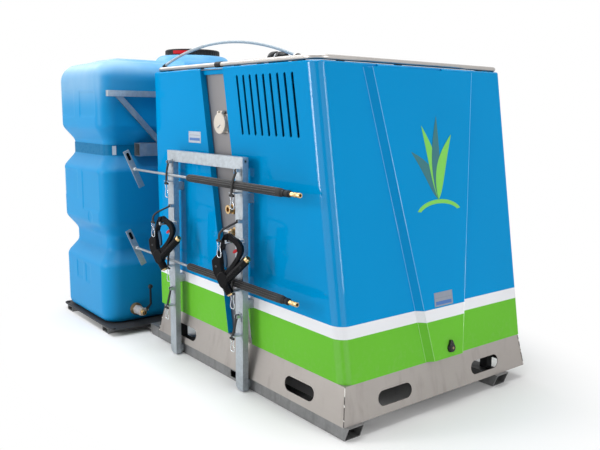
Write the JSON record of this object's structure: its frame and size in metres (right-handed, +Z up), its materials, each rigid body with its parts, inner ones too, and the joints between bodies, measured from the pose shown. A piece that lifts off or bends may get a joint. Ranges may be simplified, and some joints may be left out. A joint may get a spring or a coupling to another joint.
{
  "type": "pressure washer",
  "caption": "Skid-mounted hot-water pressure washer with a blue hood on a steel base, a water tank on a platform, and a rack with lances and trigger guns.",
  "frame": {"origin": "on the floor under the middle of the whole part's outline", "axes": "+X from the tank towards the raked end with the hatch, +Y from the rack side to the far side, +Z up"},
  "size_m": [2.568, 1.59, 1.674],
  "materials": {
    "aluminium": "cast and machined",
    "belt_paint": "smooth dark blue band",
    "black_plastic": "satin black",
    "brass": "turned, slightly worn",
    "cast_iron": "dark casting",
    "chrome": "bright plated",
    "cream_plastic": "cream",
    "dark_steel": "dull dark sheet",
    "galvanised": "zinc coat with a soft mottle",
    "grip_rubber": "matt black, fluted",
    "gun_plastic": "black moulding",
    "hood_paint": "glossy blue with white and green bands",
    "hose_grey": "grey-blue stiff hose",
    "machine_paint": "grey paint",
    "plate_foil": "grey printed plate",
    "polished_steel": "smooth stainless tube",
    "red_plastic": "red",
    "stainless": "satin sheet steel",
    "strap_rubber": "matt black rubber",
    "tank_plastic": "translucent light blue, lightly grained",
    "trigger_plastic": "dark blue-grey"
  },
  "bodies": {
    "machine": {"base_skirt": "stainless", "skid_channels": "galvanised", "deck_frame": "galvanised", "hood_rear": "hood_paint", "hood_front": "hood_paint", "hood_bridge": "hood_paint", "service_panel": "stainless", "hatch_hinge": "black_plastic", "rating_plate": "plate_foil", "top_rail": "polished_steel", "rail_fittings": "black_plastic", "arch_hose": "hose_grey", "water_tank": "tank_plastic", "tank_belt": "belt_paint", "tank_bracket": "galvanised", "platform_plate": "dark_steel", "platform_tubes": "galvanised", "outlet_fittings": "brass", "valve_body": "chrome", "socket_body": "cream_plastic", "water_couplings": "brass", "rack_posts": "galvanised", "rack_top_bar": "galvanised", "clamp_hardware": "galvanised", "strap_lower_left": "strap_rubber", "strap_lower_right": "strap_rubber", "gun_left_body": "gun_plastic", "gun_left_fittings": "brass", "gun_right_body": "gun_plastic", "gun_right_fittings": "brass", "electric_motor": "machine_paint", "plunger_pump": "aluminium", "boiler": "polished_steel", "battery_pack": "black_plastic", "control_cabinet": "machine_paint"},
    "hatch": {"hatch_door": "hood_paint", "door_plate": "plate_foil"},
    "latch": {"hatch_latch": "black_plastic"},
    "lid": {"tank_lid": "black_plastic", "lid_lock_tab": "red_plastic"},
    "outlet_lever": {"valve_lever": "black_plastic"},
    "flap": {"socket_flap": "cream_plastic"},
    "tap_lever": {"service_valve_lever": "polished_steel"},
    "shaft_coupling": {"drive_coupling": "cast_iron"},
    "lance_upper": {"lance_upper_pipe": "polished_steel", "lance_upper_grip": "grip_rubber", "lance_upper_coupling": "brass"},
    "lance_lower": {"lance_lower_pipe": "polished_steel", "lance_lower_grip": "grip_rubber", "lance_lower_coupling": "brass"},
    "trigger_left": {"gun_left_trigger": "trigger_plastic"},
    "safety_left": {"gun_left_safety": "red_plastic"},
    "strap_upper_left": {"strap_upper_left": "strap_rubber"},
    "strap_gun_left": {"strap_gun_left": "strap_rubber"},
    "strap_spare_left": {"strap_spare_left": "strap_rubber"},
    "trigger_right": {"gun_right_trigger": "trigger_plastic"},
    "safety_right": {"gun_right_safety": "red_plastic"},
    "strap_upper_right": {"strap_upper_right": "strap_rubber"},
    "strap_gun_right": {"strap_gun_right": "strap_rubber"},
    "strap_spare_right": {"strap_spare_right": "strap_rubber"}
  },
  "joints": [
    {"name": "hatch_hinge_turn", "type": "hinge", "parent": "machine", "child": "hatch", "pos_m": [1.04737, 0.019, 1.47771], "axis": [0, -1, 0], "range_deg": [0, 75]},
    {"name": "hatch_latch_turn", "type": "hinge", "parent": "hatch", "child": "latch", "pos_m": [1.25963, 0.033, 0.26107], "axis": [0.9861, 0, 0.1663], "range_deg": [0, 90]},
    {"name": "tank_lid_lift", "type": "slide", "parent": "machine", "child": "lid", "axis": [0, 0, 1], "range_m": [0, 0.25]},
    {"name": "outlet_lever_turn", "type": "hinge", "parent": "machine", "child": "outlet_lever", "pos_m": [-0.538, -0.567, 0.118], "axis": [0, 1, 0], "range_deg": [-15, 75]},
    {"name": "socket_flap_turn", "type": "hinge", "parent": "machine", "child": "flap", "pos_m": [0.30446, -0.559, 1.283], "axis": [-1, 0, 0], "range_deg": [0, 100], "stiffness_Nm_per_rad": 0.05, "springref_deg": -34.38},
    {"name": "tap_lever_turn", "type": "hinge", "parent": "machine", "child": "tap_lever", "pos_m": [0.40608, -0.575, 0.722], "axis": [0, -1, 0], "range_deg": [0, 90]},
    {"name": "drive_shaft_turn", "type": "hinge", "parent": "machine", "child": "shaft_coupling", "pos_m": [0.174, -0.274, 0.37], "axis": [1, 0, 0], "continuous": true},
    {"name": "lance_upper_slide", "type": "slide", "parent": "machine", "child": "lance_upper", "axis": [1, 0, 0], "range_m": [-0.1, 0.3]},
    {"name": "lance_lower_slide", "type": "slide", "parent": "machine", "child": "lance_lower", "axis": [1, 0, 0], "range_m": [-0.08, 0.28]},
    {"name": "strap_upper_left_swing", "type": "hinge", "parent": "machine", "child": "strap_upper_left", "pos_m": [-0.04, -0.662, 1.03], "axis": [-1, 0, 0], "range_deg": [0, 80]},
    {"name": "strap_gun_left_swing", "type": "hinge", "parent": "machine", "child": "strap_gun_left", "pos_m": [-0.028, -0.662, 0.805], "axis": [-1, 0, 0], "range_deg": [0, 80]},
    {"name": "strap_spare_left_swing", "type": "hinge", "parent": "machine", "child": "strap_spare_left", "pos_m": [-0.04, -0.662, 0.365], "axis": [-1, 0, 0], "range_deg": [0, 80]},
    {"name": "trigger_left_pull", "type": "hinge", "parent": "machine", "child": "trigger_left", "pos_m": [-0.02663, -0.73221, 0.678], "axis": [-0.4226, 0.9063, 0], "range_deg": [0, 10], "stiffness_Nm_per_rad": 3, "springref_deg": -5.73},
    {"name": "safety_left_turn", "type": "hinge", "parent": "machine", "child": "safety_left", "pos_m": [0.03319, -0.70432, 0.686], "axis": [0.4226, -0.9063, 0], "range_deg": [0, 25]},
    {"name": "strap_upper_right_swing", "type": "hinge", "parent": "machine", "child": "strap_upper_right", "pos_m": [0.592, -0.662, 1.03], "axis": [-1, 0, 0], "range_deg": [0, 80]},
    {"name": "strap_gun_right_swing", "type": "hinge", "parent": "machine", "child": "strap_gun_right", "pos_m": [0.604, -0.662, 0.805], "axis": [-1, 0, 0], "range_deg": [0, 80]},
    {"name": "strap_spare_right_swing", "type": "hinge", "parent": "machine", "child": "strap_spare_right", "pos_m": [0.592, -0.662, 0.365], "axis": [-1, 0, 0], "range_deg": [0, 80]},
    {"name": "trigger_right_pull", "type": "hinge", "parent": "machine", "child": "trigger_right", "pos_m": [0.59337, -0.73221, 0.678], "axis": [-0.4226, 0.9063, 0], "range_deg": [0, 10], "stiffness_Nm_per_rad": 3, "springref_deg": -5.73},
    {"name": "safety_right_turn", "type": "hinge", "parent": "machine", "child": "safety_right", "pos_m": [0.65319, -0.70432, 0.686], "axis": [0.4226, -0.9063, 0], "range_deg": [0, 25]}
  ]
}
